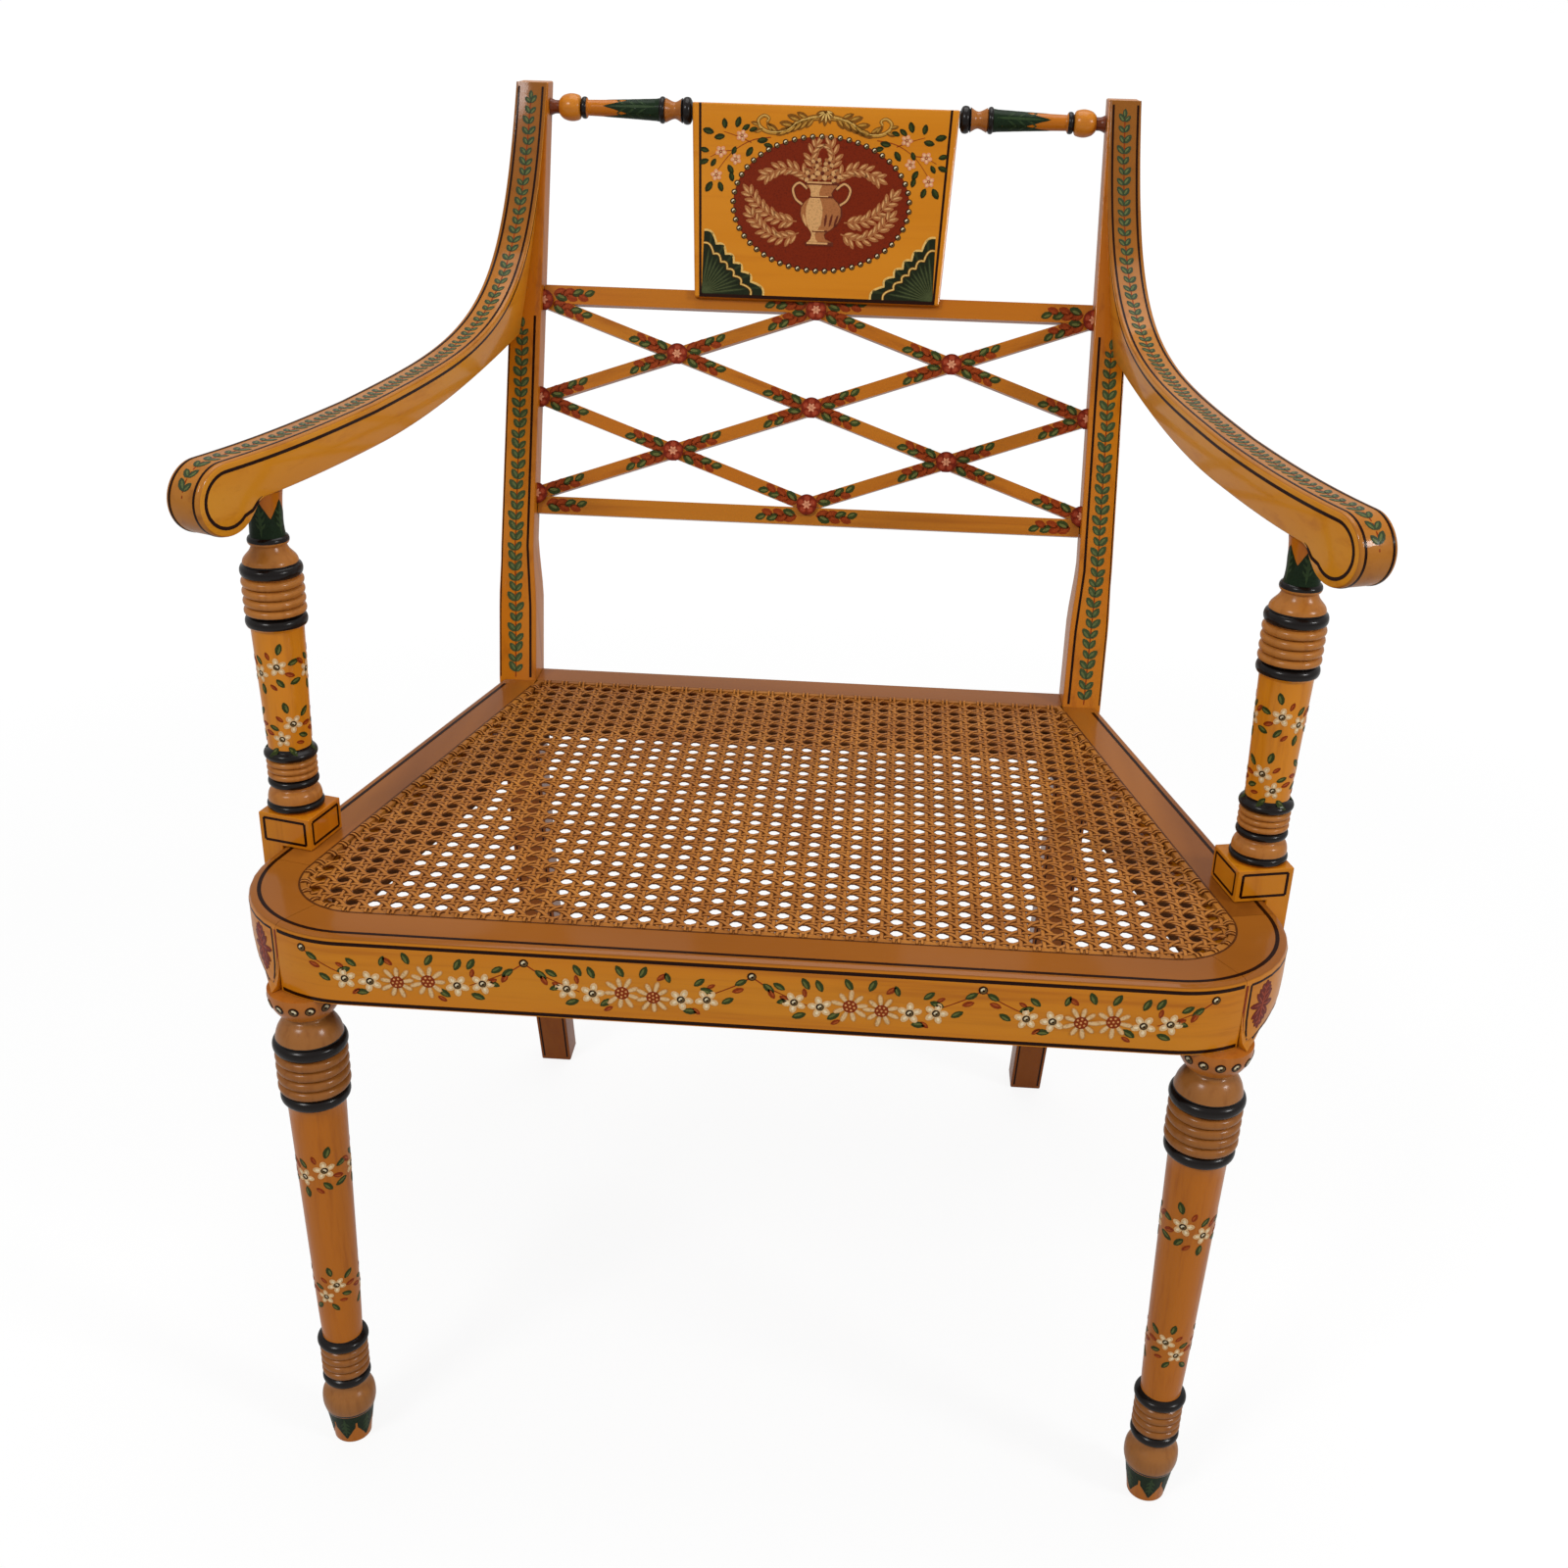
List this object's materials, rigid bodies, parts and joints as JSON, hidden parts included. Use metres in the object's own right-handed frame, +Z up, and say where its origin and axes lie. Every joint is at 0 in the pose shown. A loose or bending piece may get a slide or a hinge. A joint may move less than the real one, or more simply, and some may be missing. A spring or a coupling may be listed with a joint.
{
  "type": "armchair",
  "caption": "Open armchair with a caned seat, turned front legs and arm supports, swept scroll arms, and a raked lattice back under a painted crest tablet.",
  "frame": {"origin": "on the floor, in the middle of the chair's bounding box", "axes": "+Z up, -Y the way the chair faces, +X to the right of someone who looks at it from the front; the chair is symmetric about X = 0"},
  "size_m": [0.6302, 0.5493, 0.78],
  "materials": {
    "satinwood": "varnished satinwood with painted flowers, leaves and lines",
    "turned_wood": "varnished turned wood with black rings and painted sprigs",
    "painted_decoration": "maroon paint on small wooden bosses",
    "cane": "woven rattan cane, varnished",
    "dowel_wood": "plain beech",
    "screw_steel": "plain steel"
  },
  "bodies": {
    "root": {"arm_dowel_left_1": "dowel_wood", "arm_dowel_left_2": "dowel_wood", "arm_dowel_right_1": "dowel_wood", "arm_dowel_right_2": "dowel_wood", "arm_left": "satinwood", "arm_right": "satinwood", "arm_support_left": "turned_wood", "arm_support_right": "turned_wood", "back_seat_rail": "satinwood", "cane_panel": "cane", "cane_spline": "cane", "crest_spindle_left": "turned_wood", "crest_spindle_right": "turned_wood", "crest_tablet": "satinwood", "front_corner_block_left": "satinwood", "front_corner_block_right": "satinwood", "front_leg_left": "turned_wood", "front_leg_right": "turned_wood", "front_seat_rail": "satinwood", "lattice_long_bar_falling": "satinwood", "lattice_long_bar_rising": "satinwood", "lattice_roundel_1": "painted_decoration", "lattice_roundel_10": "painted_decoration", "lattice_roundel_11": "painted_decoration", "lattice_roundel_12": "painted_decoration", "lattice_roundel_13": "painted_decoration", "lattice_roundel_2": "painted_decoration", "lattice_roundel_3": "painted_decoration", "lattice_roundel_4": "painted_decoration", "lattice_roundel_5": "painted_decoration", "lattice_roundel_6": "painted_decoration", "lattice_roundel_7": "painted_decoration", "lattice_roundel_8": "painted_decoration", "lattice_roundel_9": "painted_decoration", "lattice_short_bar_lower_left": "satinwood", "lattice_short_bar_lower_right": "satinwood", "lattice_short_bar_upper_left": "satinwood", "lattice_short_bar_upper_right": "satinwood", "lower_back_rail": "satinwood", "rear_post_left": "satinwood", "rear_post_right": "satinwood", "seat_dowel_left_1": "dowel_wood", "seat_dowel_left_2": "dowel_wood", "seat_dowel_left_3": "dowel_wood", "seat_dowel_left_4": "dowel_wood", "seat_dowel_right_1": "dowel_wood", "seat_dowel_right_2": "dowel_wood", "seat_dowel_right_3": "dowel_wood", "seat_dowel_right_4": "dowel_wood", "side_seat_rail_left": "satinwood", "side_seat_rail_right": "satinwood", "support_screw_left": "screw_steel", "support_screw_right": "screw_steel", "tablet_dowel_1": "dowel_wood", "tablet_dowel_2": "dowel_wood", "upper_back_rail": "satinwood"}
  },
  "joints": []
}
